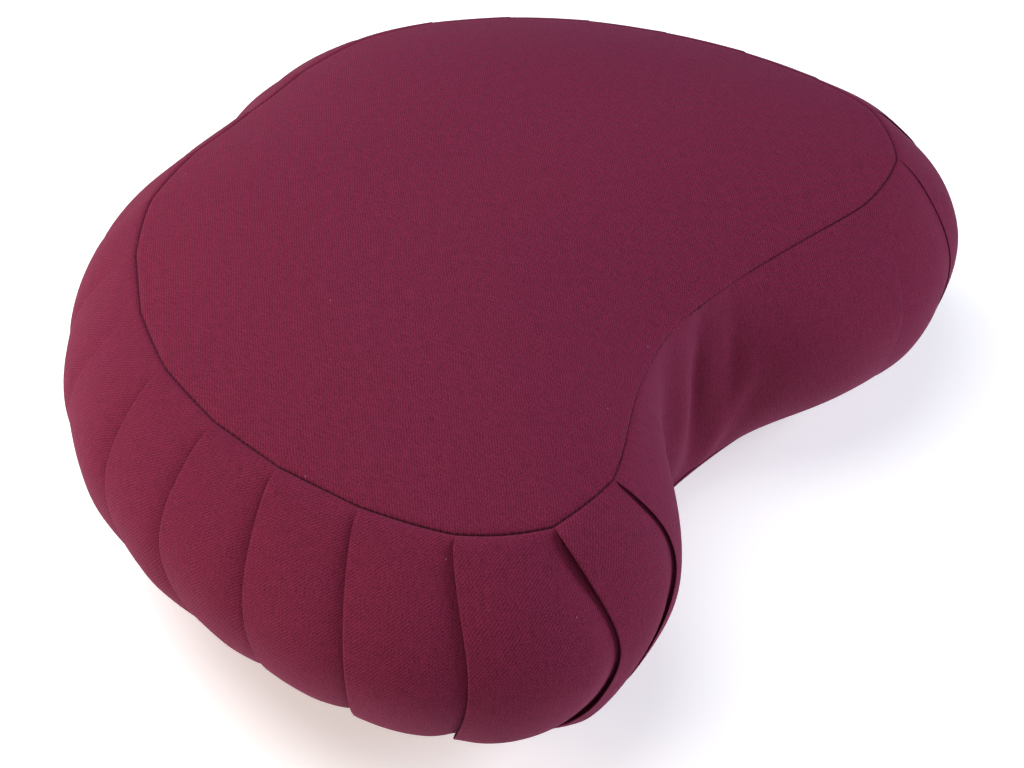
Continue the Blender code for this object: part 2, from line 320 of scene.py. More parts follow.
def scallop(place: np.ndarray, length: float) -> np.ndarray:
    """How far the seam is pushed out at the pleats and drawn in between them.

    Args:
        place: Running lengths along the seam.
        length: The seam's whole length.

    Returns:
        Offsets outward, in metres.
    """
    seams = np.array([pleat.seam_mm * MM for pleat in PLEATS])
    corners = np.array([pleat.corner_mm for pleat in PLEATS])
    sags = np.array([pleat.sag_mm for pleat in PLEATS])
    run = seams[0] + np.mod(place - seams[0], length)
    left = np.clip(np.searchsorted(seams, run, side="right") - 1, 0, len(seams) - 1)
    right = (left + 1) % len(seams)
    width = np.where(right == 0, seams[0] + length, seams[right]) - seams[left]
    share = (run - seams[left]) / width
    sharpness = np.where(right == 0, 12.0, 3.0)
    sag = sags[left]
    push = (corners[left] + sag) * (1 - share) ** sharpness + (corners[right] + sag) * share**sharpness
    return (push - sag) * MM


def ripple(across: np.ndarray, down: np.ndarray, wave_mm: float, seed: float) -> np.ndarray:
    """Smooth unevenness between -1 and 1, the same on every run.

    Args:
        across: First coordinate in metres.
        down: Second coordinate in metres.
        wave_mm: Typical distance from bump to bump.
        seed: Which pattern.

    Returns:
        The height at each point, as a share.
    """
    turn = 2 * np.pi / (wave_mm * MM)
    total = np.zeros(np.broadcast(across, down).shape)
    for i in range(5):
        angle = seed + 2.4 * i
        stretch = 0.7 + 0.17 * i
        phase = seed * 3.1 + 1.7 * i * i
        total += np.sin(turn * stretch * (across * np.cos(angle) + down * np.sin(angle)) + phase)
    return total / 5


def grid_faces(rows: int, columns: int, first: int = 0) -> list[tuple[int, int, int, int]]:
    """Quads of a grid that is closed round its columns, listed from the top row down."""
    faces = []
    for i in range(rows - 1):
        for j in range(columns):
            k = (j + 1) % columns
            upper, lower = first + i * columns, first + (i + 1) * columns
            faces.append((upper + j, lower + j, lower + k, upper + k))
    return faces


def make_piece(name: str, points: np.ndarray, faces: list[tuple[int, ...]]) -> bpy.types.Object:
    """Link a mesh object of closed, smooth-shaded faces.

    Args:
        name: The piece's name.
        points: Its points, in metres in the frame.
        faces: Its faces, pointing out.

    Returns:
        The new object, at the origin.
    """
    mesh = bpy.data.meshes.new(name)
    mesh.from_pydata(points.tolist(), [], faces)
    mesh.validate()
    mesh.shade_smooth()
    piece = bpy.data.objects.new(name, mesh)
    bpy.context.scene.collection.objects.link(piece)
    return piece


def write_uv(piece: bpy.types.Object, name: str, values: np.ndarray) -> None:
    """Give a piece a UV map from one value per point.

    Args:
        piece: The piece.
        name: The map's name.
        values: Two coordinates per point, in metres.
    """
    mesh = piece.data
    corners = np.empty(len(mesh.loops), dtype=np.int32)
    mesh.loops.foreach_get("vertex_index", corners)
    layer = mesh.uv_layers.new(name=name)
    layer.data.foreach_set("uv", values[corners].astype(np.float32).ravel())


def write_value(piece: bpy.types.Object, name: str, values: np.ndarray) -> None:
    """Give each point of a piece one number that its finish reads."""
    layer = piece.data.attributes.new(name, "FLOAT", "POINT")
    layer.data.foreach_set("value", values.astype(np.float32))


def select_only(piece: bpy.types.Object) -> None:
    """Make one piece the only selected and the active one."""
    bpy.ops.object.select_all(action="DESELECT")
    piece.select_set(True)
    bpy.context.view_layer.objects.active = piece


@dataclass
class SewnBody:
    """The filling in its pleated side band, closed under both panels."""

    shape: Shape
    panel_columns: int = 8
    front_columns: int = 80
    row_step_mm: float = 4.4
    typical_bulge: float = 0.042
    cloth_mm: float = 1.15
    mean_lift_mm: float = 0.7
    lift_power: float = 1.5
    front_fade_mm: float = 20.0
    seam_dip_mm: float = 1.5
    seam_dip_width_mm: float = 0.9
    panel_mm: float = 2.0
    waver_mm: float = 0.5
    unevenness: float = 0.22
    ripple_mm: float = 0.55
    ripple_wave_mm: float = 46.0
    after_edge_mm: float = 2.6
    before_edge_mm: float = 3.8
    before_front_edge_mm: float = 3.6
    pinned_mm: float = 4.0
    loosening_mm: float = 14.0
    swell_cap_mm: float = 2.5
    strip_step: float = 0.061

    def depths(self) -> np.ndarray:
        """Depths of the rows, evenly spaced down the cloth and closer together beside the seams."""
        fine = np.linspace(0, 1, 4001)
        heights = self.shape.top_seam + (self.shape.bottom_seam - self.shape.top_seam) * fine
        out = self.typical_bulge * self.shape.fullness(fine)
        run = np.append(0, np.cumsum(np.hypot(np.diff(out), np.diff(heights))))
        beside_top = np.array([0, 0.45, 1.0, 1.8, 3.0, 4.8, 7.4]) * MM
        beside_bottom = np.array([5.5, 2.8, 1.2, 0.4, 0.0]) * MM
        first, last = beside_top[-1], run[-1] - beside_bottom[0]
        count = int(round((last - first) / (self.row_step_mm * MM)))
        middle = np.linspace(first, last, count + 1)[1:-1]
        wanted = np.concatenate([beside_top, middle, run[-1] - beside_bottom])
        return np.interp(wanted, run, fine)

    def pleat_edge(self, index: int, depth: np.ndarray) -> np.ndarray:
        """Running length of a pleat's folded edge at depths from the top seam (0) to the bottom (1)."""
        lap, row = divmod(index, len(PLEATS))
        pleat = PLEATS[row]
        drift = pleat.lean_mm * depth + pleat.bow_mm * np.sin(np.pi * depth)
        drift = drift + pleat.curl_mm * np.sin(2 * np.pi * depth)
        waver = self.waver_mm * np.sin(7.0 * depth + 2.3 * row) * np.sin(np.pi * depth)
        return (pleat.seam_mm + drift + waver) * MM + lap * self.shape.length

    def stand(self, index: int, depth: np.ndarray) -> np.ndarray:
        """How far a pleat's folded edge stands proud, in metres."""
        row = index % len(PLEATS)
        pleat = PLEATS[row]
        fade = np.minimum(1, depth / pleat.opens) ** 0.6 * np.minimum(1, (1 - depth) / 0.06) ** 0.6
        uneven = 1 + self.unevenness * np.sin(5.0 * depth + 1.9 * row)
        return (pleat.stand_mm * uneven + self.gape(row, depth)) * fade * MM

    def gape(self, row: int, depth: np.ndarray) -> np.ndarray:
        """How much more a pleat's edge stands where its upper end hangs open, in millimetres."""
        return PLEATS[row].gape_mm * np.exp(-(((depth - 0.09) / 0.07) ** 2))

    def panel_lift(self, panel: int, phase: np.ndarray, depth: np.ndarray) -> np.ndarray:
        """Lift of a panel's cloth, from its folded edge (phase 0) to its foot (phase 1)."""
        fade = np.minimum(1, np.minimum(depth, 1 - depth) / 0.12)
        stand = self.stand(panel, depth)
        if panel == len(PLEATS) - 1:
            width = self.pleat_edge(panel + 1, depth) - self.pleat_edge(panel, depth)
            return stand * np.exp(-phase * width / (self.front_fade_mm * MM))
        swell = (PLEATS[panel].puff_mm * np.sin(np.pi * phase) - self.mean_lift_mm) * MM
        return stand * (1 - phase) ** self.lift_power + swell * fade

    def slack(self, place: np.ndarray, depth: np.ndarray) -> np.ndarray:
        """Lift of the plain front's slack folds, in metres."""
        length = self.shape.length
        beside = np.mod(place + length / 2, length) - length / 2
        lift = np.zeros(place.shape)
        for fold in FRONT_FOLDS:
            middle = (fold.seam_mm + fold.lean_mm * depth) * MM
            across = (beside - middle) / (fold.half_width_mm * MM)
            span = np.clip((depth - fold.top) / (fold.bottom - fold.top), 0, 1)
            lift += fold.height_mm * MM * np.exp(-(across**2)) * np.sin(np.pi * span) ** 0.8
        return lift

    def columns(self, depth: np.ndarray) -> list[dict[str, np.ndarray]]:
        """Every column of the side: its places, lifts, panel and how firmly the stitching holds it.

        Args:
            depth: Depths of the rows.

        Returns:
            One dict for each column, with arrays over the rows.
        """
        opened = np.clip(depth / 0.02, 0, 1) * np.clip((1 - depth) / 0.02, 0, 1)
        made = []
        for panel in range(len(PLEATS)):
            start, end = self.pleat_edge(panel, depth), self.pleat_edge(panel + 1, depth)
            width = end - start
            for station in PLEAT_SECTION[5:]:
                made.append(self.section_column(panel, station, start, depth, opened))
            if panel == len(PLEATS) - 1:
                made += self.front_band(panel, depth)
            else:
                edges = np.linspace(0, 1, self.panel_columns + 2)[1:-1]
                first = np.minimum(self.after_edge_mm * MM / width, 0.35)
                last = 1 - np.minimum(self.before_edge_mm * MM / width, 0.35)
                for share in edges:
                    phase = first + (last - first) * share
                    lift = self.panel_lift(panel, phase, depth)
                    made.append({"place": start + phase * width, "lift": lift, "panel": panel, "held": 0.0})
            for station in PLEAT_SECTION[:5]:
                made.append(self.section_column(panel + 1, station, end, depth, opened))
        return made

    def front_band(self, panel: int, depth: np.ndarray) -> list[dict[str, np.ndarray]]:
        """Columns of the plain front, which turn along with the pleats only at its two ends."""
        tops = [self.pleat_edge(panel + end, np.zeros(1))[0] for end in (0, 1)]
        drift = [self.pleat_edge(panel + end, depth) - tops[end] for end in (0, 1)]
        even = np.linspace(0, 1, self.front_columns + 2)[1:-1]
        crowded = even + 0.35 * np.sin(2 * np.pi * even) / (2 * np.pi)
        width = tops[1] - tops[0]
        first = self.after_edge_mm * MM / width
        last = 1 - self.before_front_edge_mm * MM / width
        made = []
        for phase in first + (last - first) * crowded:
            place = tops[0] + phase * width + drift[0] * (1 - phase) ** 3 + drift[1] * phase**3
            lift = self.panel_lift(panel, phase, depth)
            made.append({"place": place, "lift": lift, "panel": panel, "held": 0.0})
        return made

    def section_column(
        self, pleat: int, station: Station, edge: np.ndarray, depth: np.ndarray, opened: np.ndarray
    ) -> dict[str, np.ndarray]:
        """One column of a pleat's cross-section.

        Args:
            pleat: The pleat's index, which may run one past the last.
            station: Where the column lies in the section.
            edge: Running length of the folded edge at each depth.
            depth: Depths of the rows.
            opened: From 0 where the pleat is sewn flat into a seam to 1 where it is free.

        Returns:
            The column's places, lifts, panel and hold.
        """
        row = pleat % len(PLEATS)
        stand = self.stand(row, depth)
        layer = np.minimum(self.cloth_mm * MM, 0.55 * stand)
        phase = np.ones(len(depth))
        foot = self.panel_lift((pleat - 1) % len(PLEATS), phase, depth)
        crest = self.panel_lift(row, 0 * phase, depth)
        sunk = opened * np.clip(depth / PLEATS[row].opens, 0, 1)
        dip = (PLEATS[row].trench_mm + 0.6 * self.gape(row, depth)) * sunk
        low = foot - station.layers_down * dip * MM
        high = crest - station.layers_down * layer
        lift = {Layer.FOOT: low, Layer.FLAP: high, Layer.FOLD: 0.5 * (foot + crest - layer)}[station.layer]
        along = station.sewn_mm + (station.along_mm - station.sewn_mm) * opened
        under = station.layer is not Layer.FLAP
        return {
            "place": edge + along * MM,
            "lift": lift,
            "panel": pleat - 1 if under else pleat,
            "held": 1.0,
        }

    def side(self) -> dict[str, np.ndarray]:
        """Points, cloth coordinates and hold of the whole side.

        Returns:
            Arrays over rows and columns.
        """
        depth = self.depths()
        made = self.columns(depth)
        place = np.column_stack([column["place"] for column in made])
        lift = np.column_stack([column["lift"] for column in made])
        panel = np.array([column["panel"] for column in made])
        held = np.array([column["held"] for column in made])
        rows = depth[:, None] * np.ones(place.shape)
        height = self.shape.top_seam + (self.shape.foot_seam(place) - self.shape.top_seam) * rows
        point, outward, bulge = self.shape.at(place)
        out = bulge * self.shape.fullness(rows)
        base = self.shape.placed(point + outward * out[..., None], height)
        step = np.linalg.norm(np.diff(base, axis=0), axis=2)
        down = np.vstack([np.zeros(place.shape[1]), np.cumsum(step, axis=0)])
        from_seam = np.minimum(down, down[-1] - down)
        slope = np.gradient(out, axis=0) / np.gradient(height, axis=0)
        rise = np.clip(-slope, -1.6, 1.9)
        normal = np.concatenate([outward, rise[..., None]], axis=-1)
        normal /= np.linalg.norm(normal, axis=-1)[..., None]
        lift = lift + self.slack(place, rows)
        rippled = ripple(place, down, self.ripple_wave_mm, 1.3) * np.clip(from_seam / 0.02, 0, 1)
        lift += self.ripple_mm * MM * rippled
        lift -= self.seam_dip_mm * MM * np.exp(-from_seam / (self.seam_dip_width_mm * MM))
        points = base + normal * lift[..., None]
        return {
            "points": points,
            "place": place,
            "down": down,
            "panel": panel,
            "held": held,
            "from_seam": from_seam,
        }

    def cloth_map(self, side: dict[str, np.ndarray]) -> np.ndarray:
        """Where each point of the side lies on the flat strip, measured from its panel's middle."""
        across = np.zeros(side["place"].shape)
        for panel in np.unique(side["panel"]):
            own = np.flatnonzero(side["panel"] == panel)
            step = np.linalg.norm(np.diff(side["points"][:, own], axis=1), axis=2)
            run = np.hstack([np.zeros((len(step), 1)), np.cumsum(step, axis=1)])
            middle = len(own) // 2
            across[:, own] = run - run[:, middle : middle + 1] + self.strip_step * (panel + 1)
        return np.stack([across, -side["down"]], axis=-1)

    def build(self) -> bpy.types.Object:
        """Model the body, swell it with the cloth solver and smooth it.

        Returns:
            The finished piece.
        """
        side = self.side()
        rows, columns = side["place"].shape
        shape = self.shape
        recess = (self.panel_mm + 0.6) * MM
        top_place, bottom_place = side["place"][0], side["place"][-1]
        rings = []
        for share in (0.35, 0.65, 0.85, 0.96):
            plan = shape.level_line(share, top_place)
            rings.append(shape.placed(plan, shape.crown(share) - recess))
        rings.append(shape.placed(shape.level_line(0.995, top_place), shape.top_seam - recess))
        upper = len(rings)
        rings += list(side["points"])
        foot = shape.foot_seam(bottom_place)
        rings.append(shape.placed(shape.level_line(0.995, bottom_place), foot + recess))
        for step in (0.15, 0.4, 0.75, 1.0):
            share = 1 - step * (1 - shape.flat_share)
            height = foot * (1 - step) ** shape.underside_power
            rings.append(shape.placed(shape.level_line(share, bottom_place), height + recess))
        points = np.vstack(rings)
        faces = grid_faces(len(rings), columns)
        piece = make_piece("pleated_band_and_filling", points, faces)
        uv = np.zeros((len(points), 2))
        start = upper * columns
        uv[start : start + rows * columns] = self.cloth_map(side).reshape(-1, 2)
        write_uv(piece, "cloth", uv)
        edge = np.ones(len(points))
        edge[start : start + rows * columns] = side["from_seam"].ravel()
        write_value(piece, "from_seam", edge)
        run = np.zeros(len(points))
        run[start : start + rows * columns] = side["place"].ravel()
        write_value(piece, "along_seam", run)
        hold = np.ones(len(points))
        loose = np.clip((side["from_seam"] - self.pinned_mm * MM) / (self.loosening_mm * MM), 0, 1)
        free = loose * (1 - side["held"])
        hold[start : start + rows * columns] = 1 - free.ravel()
        swell(piece, hold, cap_mm=self.swell_cap_mm)
        smooth_once(piece)
        close_ends(piece)
        return piece


def swell(piece: bpy.types.Object, hold: np.ndarray, cap_mm: float) -> None:
    """Blow a piece up between its stitched lines with the cloth solver.

    Args:
        piece: The piece, whose mesh is changed.
        hold: From 0, free, to 1, sewn down, for each point.
        cap_mm: The furthest that a point may move.
    """
    before = np.empty(len(piece.data.vertices) * 3, dtype=np.float32)
    piece.data.vertices.foreach_get("co", before)
    group = piece.vertex_groups.new(name="sewn")
    for index, weight in enumerate(hold):
        group.add([index], float(weight), "REPLACE")
    cloth = piece.modifiers.new("swelling", "CLOTH")
    settings = cloth.settings
    settings.quality = 6
    settings.mass = 0.3
    settings.tension_stiffness = 25
    settings.compression_stiffness = 12
    settings.shear_stiffness = 8
    settings.bending_stiffness = 1.5
    settings.use_pressure = True
    settings.uniform_pressure_force = 4
    settings.vertex_group_mass = "sewn"
    settings.pin_stiffness = 4
    settings.effector_weights.gravity = 0
    cloth.collision_settings.use_collision = False
    scene = bpy.context.scene
    for step in range(1, 21):
        scene.frame_set(step)
    evaluated = piece.evaluated_get(bpy.context.evaluated_depsgraph_get())
    after = np.empty_like(before)
    evaluated.to_mesh().vertices.foreach_get("co", after)
    evaluated.to_mesh_clear()
    piece.modifiers.remove(cloth)
    piece.vertex_groups.remove(group)
    scene.frame_set(1)
    move = (after - before).reshape(-1, 3)
    size = np.linalg.norm(move, axis=1)
    log.info("%s: the solver moved points by up to %.1f mm", piece.name, size.max() / MM)
    move *= (np.minimum(size, cap_mm * MM) / np.maximum(size, 1e-9))[:, None]
    piece.data.vertices.foreach_set("co", before + move.ravel())
    piece.data.update()


def smooth_once(piece: bpy.types.Object) -> None:
    """Apply one level of subdivision to a piece."""
    select_only(piece)
    smoothing = piece.modifiers.new("rounding", "SUBSURF")
    smoothing.levels = smoothing.render_levels = 1
    smoothing.boundary_smooth = "PRESERVE_CORNERS"
    bpy.ops.object.modifier_apply(modifier=smoothing.name)


def close_ends(piece: bpy.types.Object) -> None:
    """Close the open rings of a piece where another piece covers them."""
    shell = bmesh.new()
    shell.from_mesh(piece.data)
    rims = [edge for edge in shell.edges if edge.is_boundary]
    filled = bmesh.ops.holes_fill(shell, edges=rims, sides=0)["faces"]
    bmesh.ops.poke(shell, faces=filled)
    bmesh.ops.recalc_face_normals(shell, faces=shell.faces)
    shell.to_mesh(piece.data)
    shell.free()
    piece.data.shade_smooth()


@dataclass
class CrownPanel:
    """The crescent that closes the top, stretched over the filling.

    Its edge is gathered a little by every stitch, so two columns of points stand for one stitch.
    """

    shape: Shape
    columns: int = 732
    thickness_mm: float = 1.6
    seam_dip_mm: float = 1.5
    seam_dip_width_mm: float = 0.8
    pucker_mm: float = 0.045
    pucker_reach_mm: float = 1.6

    def surface(self, share: float, place: np.ndarray, under: bool = False) -> np.ndarray:
        """One ring of the cloth, on its upper or under side."""
        shape = self.shape
        plan = shape.level_line(share, place)
        edge = shape.level_line(1.0, place)
        away = np.linalg.norm(plan - edge, axis=1)
        height = np.full(len(place), shape.crown(share))
        height += 0.5 * MM * ripple(plan[:, 0], plan[:, 1], 120, 0.4) * np.clip(away / 0.05, 0, 1)
        height -= self.seam_dip_mm * MM * np.exp(-away / (self.seam_dip_width_mm * MM))
        if len(place) > 1:
            uneven = 0.6 + 0.8 * ripple(place, 0 * place, 21, 2.2)
            stitch = np.where(np.arange(len(place)) % 2, uneven, -uneven)
            height += stitch * self.pucker_mm * MM * np.exp(-away / (self.pucker_reach_mm * MM))
        if under:
            height = height - self.thickness_mm * MM
        return shape.placed(plan, height)

    def build(self) -> bpy.types.Object:
        """Model the panel as a thin closed sheet.

        Returns:
            The finished piece.
        """
        place = np.linspace(0, self.shape.length, self.columns, endpoint=False)
        beside = 1 - np.array([0.0015, 0.005, 0.010, 0.017, 0.027, 0.042, 0.062])
        inner = np.linspace(0.935, 0.03, 34)
        shares = np.concatenate([beside, inner])[::-1]
        upper = [self.surface(share, place) for share in shares]
        under = [self.surface(share, place, True) for share in shares[::-4]]
        rings = upper + under
        peak = self.surface(0.0, place[:1])
        foot = self.surface(0.0, place[:1], True)
        points = np.vstack([peak] + rings + [foot])
        columns = self.columns
        faces = [(0, 1 + j, 1 + (j + 1) % columns) for j in range(columns)]
        faces += grid_faces(len(rings), columns, 1)
        last, base = len(points) - 1, 1 + (len(rings) - 1) * columns
        faces += [(last, base + (j + 1) % columns, base + j) for j in range(columns)]
        piece = make_piece("crown_panel", points, faces)
        write_uv(piece, "cloth", points[:, :2])
        edge = np.ones(len(points))
        edge[1:-1] = [np.linalg.norm(ring[0] - upper[-1][0]) for ring in rings for _ in range(columns)]
        write_value(piece, "from_seam", edge)
        write_value(piece, "along_seam", np.concatenate([[0], np.tile(place, len(rings)), [0]]))
        return piece


@dataclass
class BasePanel:
    """The crescent that closes the underside, flat where the cushion rests."""

    shape: Shape
    columns: int = 300
    thickness_mm: float = 1.6

    def ring(self, step: float, place: np.ndarray, over: bool = False) -> np.ndarray:
        """One ring of the cloth at a step from the seam (0) to the flat (1)."""
        shape = self.shape
        share = 1 - step * (1 - shape.flat_share) if step <= 1 else (2 - step) * shape.flat_share
        height = shape.foot_seam(place) * (1 - min(step, 1)) ** shape.underside_power
        if over:
            height = height + self.thickness_mm * MM
        return shape.placed(shape.level_line(share, place), height)

    def build(self) -> bpy.types.Object:
        """Model the panel as a thin closed sheet.

        Returns:
            The finished piece.
        """
        place = np.linspace(0, self.shape.length, self.columns, endpoint=False)
        steps = [0.01, 0.04, 0.09, 0.16, 0.25, 0.36, 0.48, 0.6, 0.72, 0.85, 1.0, 1.25, 1.5, 1.75]
        over = [self.ring(step, place, True) for step in steps[::-1]]
        under = [self.ring(step, place) for step in steps]
        rings = over + under
        peak = self.ring(2.0, place[:1], True)
        foot = self.ring(2.0, place[:1])
        points = np.vstack([peak] + rings + [foot])
        columns = self.columns
        faces = [(0, 1 + j, 1 + (j + 1) % columns) for j in range(columns)]
        faces += grid_faces(len(rings), columns, 1)
        last, base = len(points) - 1, 1 + (len(rings) - 1) * columns
        faces += [(last, base + (j + 1) % columns, base + j) for j in range(columns)]
        piece = make_piece("base_panel", points, faces)
        write_uv(piece, "cloth", points[:, :2])
        edge = np.ones(len(points))
        edge[1:-1] = [np.linalg.norm(ring[0] - under[0][0]) for ring in rings for _ in range(columns)]
        write_value(piece, "from_seam", edge)
        return piece


def srgb(code: str) -> tuple[float, float, float, float]:
    """Linear colour of an sRGB hex code such as #6e2a40."""
    parts = [int(code[i : i + 2], 16) / 255 for i in (1, 3, 5)]
    linear = [p / 12.92 if p <= 0.04045 else ((p + 0.055) / 1.055) ** 2.4 for p in parts]
    return (*linear, 1.0)


def add_node(tree: bpy.types.NodeTree, kind: str, inputs: dict | None = None, **settings) -> bpy.types.Node:
    """Add one node with its settings, values and links.

    Args:
        tree: The material's node tree.
        kind: The node's type name.
        inputs: Socket names or numbers with a value, or an output socket to link from.
        **settings: The node's own properties.

    Returns:
        The new node.
    """
    node = tree.nodes.new(kind)
    for key, value in settings.items():
        setattr(node, key, value)
    for key, value in (inputs or {}).items():
        if isinstance(value, bpy.types.NodeSocket):
            tree.links.new(value, node.inputs[key])
        else:
            node.inputs[key].default_value = value
    return node


@dataclass(frozen=True)
class WovenCotton:
    """Piece-dyed cotton twill, woven and then washed.

    The weave gives the eye fine diagonal lines and uneven yarns, the dye slightly warmer patches, and
    the washing a matt face with a short fuzz that lightens the edges and a few specks of lint.
    """

    name: str
    yarn: str = "#7a2344"
    between: str = "#461021"
    warm: str = "#7d233f"
    # The twill and its yarns are drawn about twice as coarse as real ones, so that they show
    twill_mm: float = 1.05
    yarn_mm: float = 0.55
    slub_mm: tuple[float, float] = (0.7, 6.0)
    fibre_mm: float = 0.6
    shaded_heights: tuple[float, float] = (-0.18, 0.62)
    diagonal_deg: float = 48.0
    waver_apart_mm: float = 20.0
    waver_mm: float = 3.0
    patches_per_mm: float = 0.018
    relief_mm: float = 0.16
    relief_strength: float = 0.7
    lint: str = "#c9a8b4"
    lint_apart_mm: float = 17.0
    lint_mm: float = 0.42
    lint_share: float = 0.45
    stitch_mm: float = 3.0
    stitch_drifts_per_m: float = 120.0
    stitch_drift: float = 9.0
    pucker_mm: float = 0.07
    pucker_reach_mm: float = 3.0
    # Painted shade along each seam: how far it reaches, how much the stitches bead it, and how far the
    # colour goes towards the shade colour
    seam_shade_mm: float = 0.75
    seam_shade_bead_mm: float = 0.12
    seam_shade_share: float = 0.72
    shade: str = "#1c070e"
    roughness: float = 0.92
    specular: float = 0.12
    sheen: float = 0.14
    sheen_roughness: float = 0.5
    fuzz: str = "#c070a0"
    cloth_uv: str = "cloth"

    def yarns(self, tree: bpy.types.NodeTree, grain: bpy.types.NodeSocket) -> bpy.types.NodeSocket:
        """Height of the weave, about 0 to 1: the twill's lines, its crossings and the yarns' own unevenness.

        Args:
            tree: The material's node tree.
            grain: The cloth's coordinates in millimetres, along its yarns.

        Returns:
            The socket that holds the height.
        """
        turned = add_node(
            tree, "ShaderNodeMapping", {"Vector": grain, "Rotation": (0, 0, math.radians(self.diagonal_deg))}
        )
        # A wave texture's bands repeat every pi / 10 units at scale 1
        pitch = math.pi / 10
        waves = []
        for vector, size, direction in (
            (turned.outputs[0], self.twill_mm, "X"),
            (grain, self.yarn_mm, "X"),
            (grain, self.yarn_mm, "Y"),
        ):
            wave = add_node(
                tree,
                "ShaderNodeTexWave",
                {"Vector": vector, "Scale": pitch / size, "Distortion": 0.9, "Detail Scale": 1.5},
                bands_direction=direction,
            )
            waves.append(wave.outputs["Fac"])
        crossing = add_node(tree, "ShaderNodeMath", {0: waves[1], 1: waves[2]}, operation="MULTIPLY")
        total = add_node(tree, "ShaderNodeMath", {0: waves[0], 1: 0.30, 2: 0.0}, operation="MULTIPLY_ADD")
        total = add_node(
            tree,
            "ShaderNodeMath",
            {0: crossing.outputs[0], 1: 0.3, 2: total.outputs[0]},
            operation="MULTIPLY_ADD",
        )
        wide, long = self.slub_mm
        fine = self.fibre_mm
        for size, share in (((wide, long), 0.5), ((long, wide), 0.3), ((fine, fine), 1.3)):
            scale = (1 / size[0], 1 / size[1], 1)
            scaled = add_node(tree, "ShaderNodeMapping", {"Vector": grain, "Scale": scale})
            noise = add_node(
                tree, "ShaderNodeTexNoise", {"Vector": scaled.outputs[0], "Scale": 1.0, "Detail": 1.0}
            )
            centred = add_node(
                tree, "ShaderNodeMath", {0: noise.outputs["Fac"], 1: 0.5}, operation="SUBTRACT"
            )
            total = add_node(
                tree,
                "ShaderNodeMath",
                {0: centred.outputs[0], 1: share, 2: total.outputs[0]},
                operation="MULTIPLY_ADD",
            )
        return total.outputs[0]

    def stitches(self, tree: bpy.types.NodeTree) -> bpy.types.NodeSocket:
        """Wave along a seam, from -1 between two stitches to 1 on one, with their lengths a little uneven.

        Args:
            tree: The material's node tree.

        Returns:
            The socket that holds the wave.
        """
        run = add_node(tree, "ShaderNodeAttribute", attribute_name="along_seam")
        uneven = add_node(
            tree,
            "ShaderNodeTexNoise",
            {"W": run.outputs["Fac"], "Scale": self.stitch_drifts_per_m},
            noise_dimensions="1D",
        )
        turns = add_node(
            tree,
            "ShaderNodeMath",
            {0: run.outputs["Fac"], 1: 2 * math.pi / (self.stitch_mm * MM), 2: 0.0},
            operation="MULTIPLY_ADD",
        )
        shifted = add_node(
            tree,
            "ShaderNodeMath",
            {0: uneven.outputs["Fac"], 1: self.stitch_drift, 2: turns.outputs[0]},
            operation="MULTIPLY_ADD",
        )
        return add_node(tree, "ShaderNodeMath", {0: shifted.outputs[0]}, operation="SINE").outputs[0]

    def puckers(
        self, tree: bpy.types.NodeTree, away: bpy.types.NodeSocket, bead: bpy.types.NodeSocket
    ) -> bpy.types.NodeSocket:
        """Height of the small gathers that each stitch makes beside a seam.

        Args:
            tree: The material's node tree.
            away: Distance from the seam.
            bead: The stitches' wave.

        Returns:
            The socket that holds the height.
        """
        near = add_node(
            tree,
            "ShaderNodeMapRange",
            {"Value": away, "From Max": self.pucker_reach_mm * MM, "To Min": 1.0, "To Max": 0.0},
            interpolation_type="SMOOTHSTEP",
        )
        gathered = add_node(tree, "ShaderNodeMath", {0: bead, 1: near.outputs[0]}, operation="MULTIPLY")
        return gathered.outputs[0]

    def painted_seam_shade(
        self,
        tree: bpy.types.NodeTree,
        away: bpy.types.NodeSocket,
        bead: bpy.types.NodeSocket,
        colour: bpy.types.NodeSocket,
    ) -> bpy.types.NodeSocket:
        """Colour with painted shade along the seam's narrow valley, where the thread draws the cloth in.

        Args:
            tree: The material's node tree.
            away: Distance from the seam.
            bead: The stitches' wave.
            colour: The cloth's colour.

        Returns:
            The socket that holds the colour.
        """
        # Share of painted shade: full at the seam, none a little way off, beaded by the stitches
        beaded = add_node(
            tree, "ShaderNodeMath", {0: bead, 1: self.seam_shade_bead_mm * MM, 2: away}, operation="MULTIPLY_ADD"
        )
        sunk = add_node(
            tree,
            "ShaderNodeMapRange",
            {
                "Value": beaded.outputs[0],
                "From Max": self.seam_shade_mm * MM,
                "To Min": self.seam_shade_share,
                "To Max": 0.0,
            },
            interpolation_type="SMOOTHSTEP",
        )
        mixed = add_node(
            tree,
            "ShaderNodeMix",
            {"Factor": sunk.outputs[0], "A": colour, "B": srgb(self.shade)},
            data_type="RGBA",
        )
        return mixed.outputs["Result"]

    def linted(
        self, tree: bpy.types.NodeTree, grain: bpy.types.NodeSocket, colour: bpy.types.NodeSocket
    ) -> bpy.types.NodeSocket:
        """Colour with the few loose fibres that washing leaves on cotton.

        Args:
            tree: The material's node tree.
            grain: The cloth's coordinates in millimetres.
            colour: The cloth's colour.

        Returns:
            The socket that holds the colour.
        """
        spots = add_node(tree, "ShaderNodeTexVoronoi", {"Vector": grain, "Scale": 1 / self.lint_apart_mm})
        reach = self.lint_mm / self.lint_apart_mm
        speck = add_node(
            tree,
            "ShaderNodeMapRange",
            {
                "Value": spots.outputs["Distance"],
                "From Max": reach,
                "To Min": self.lint_share,
                "To Max": 0.0,
            },
        )
        mixed = add_node(
            tree,
            "ShaderNodeMix",
            {"Factor": speck.outputs[0], "A": colour, "B": srgb(self.lint)},
            data_type="RGBA",
        )
        return mixed.outputs["Result"]

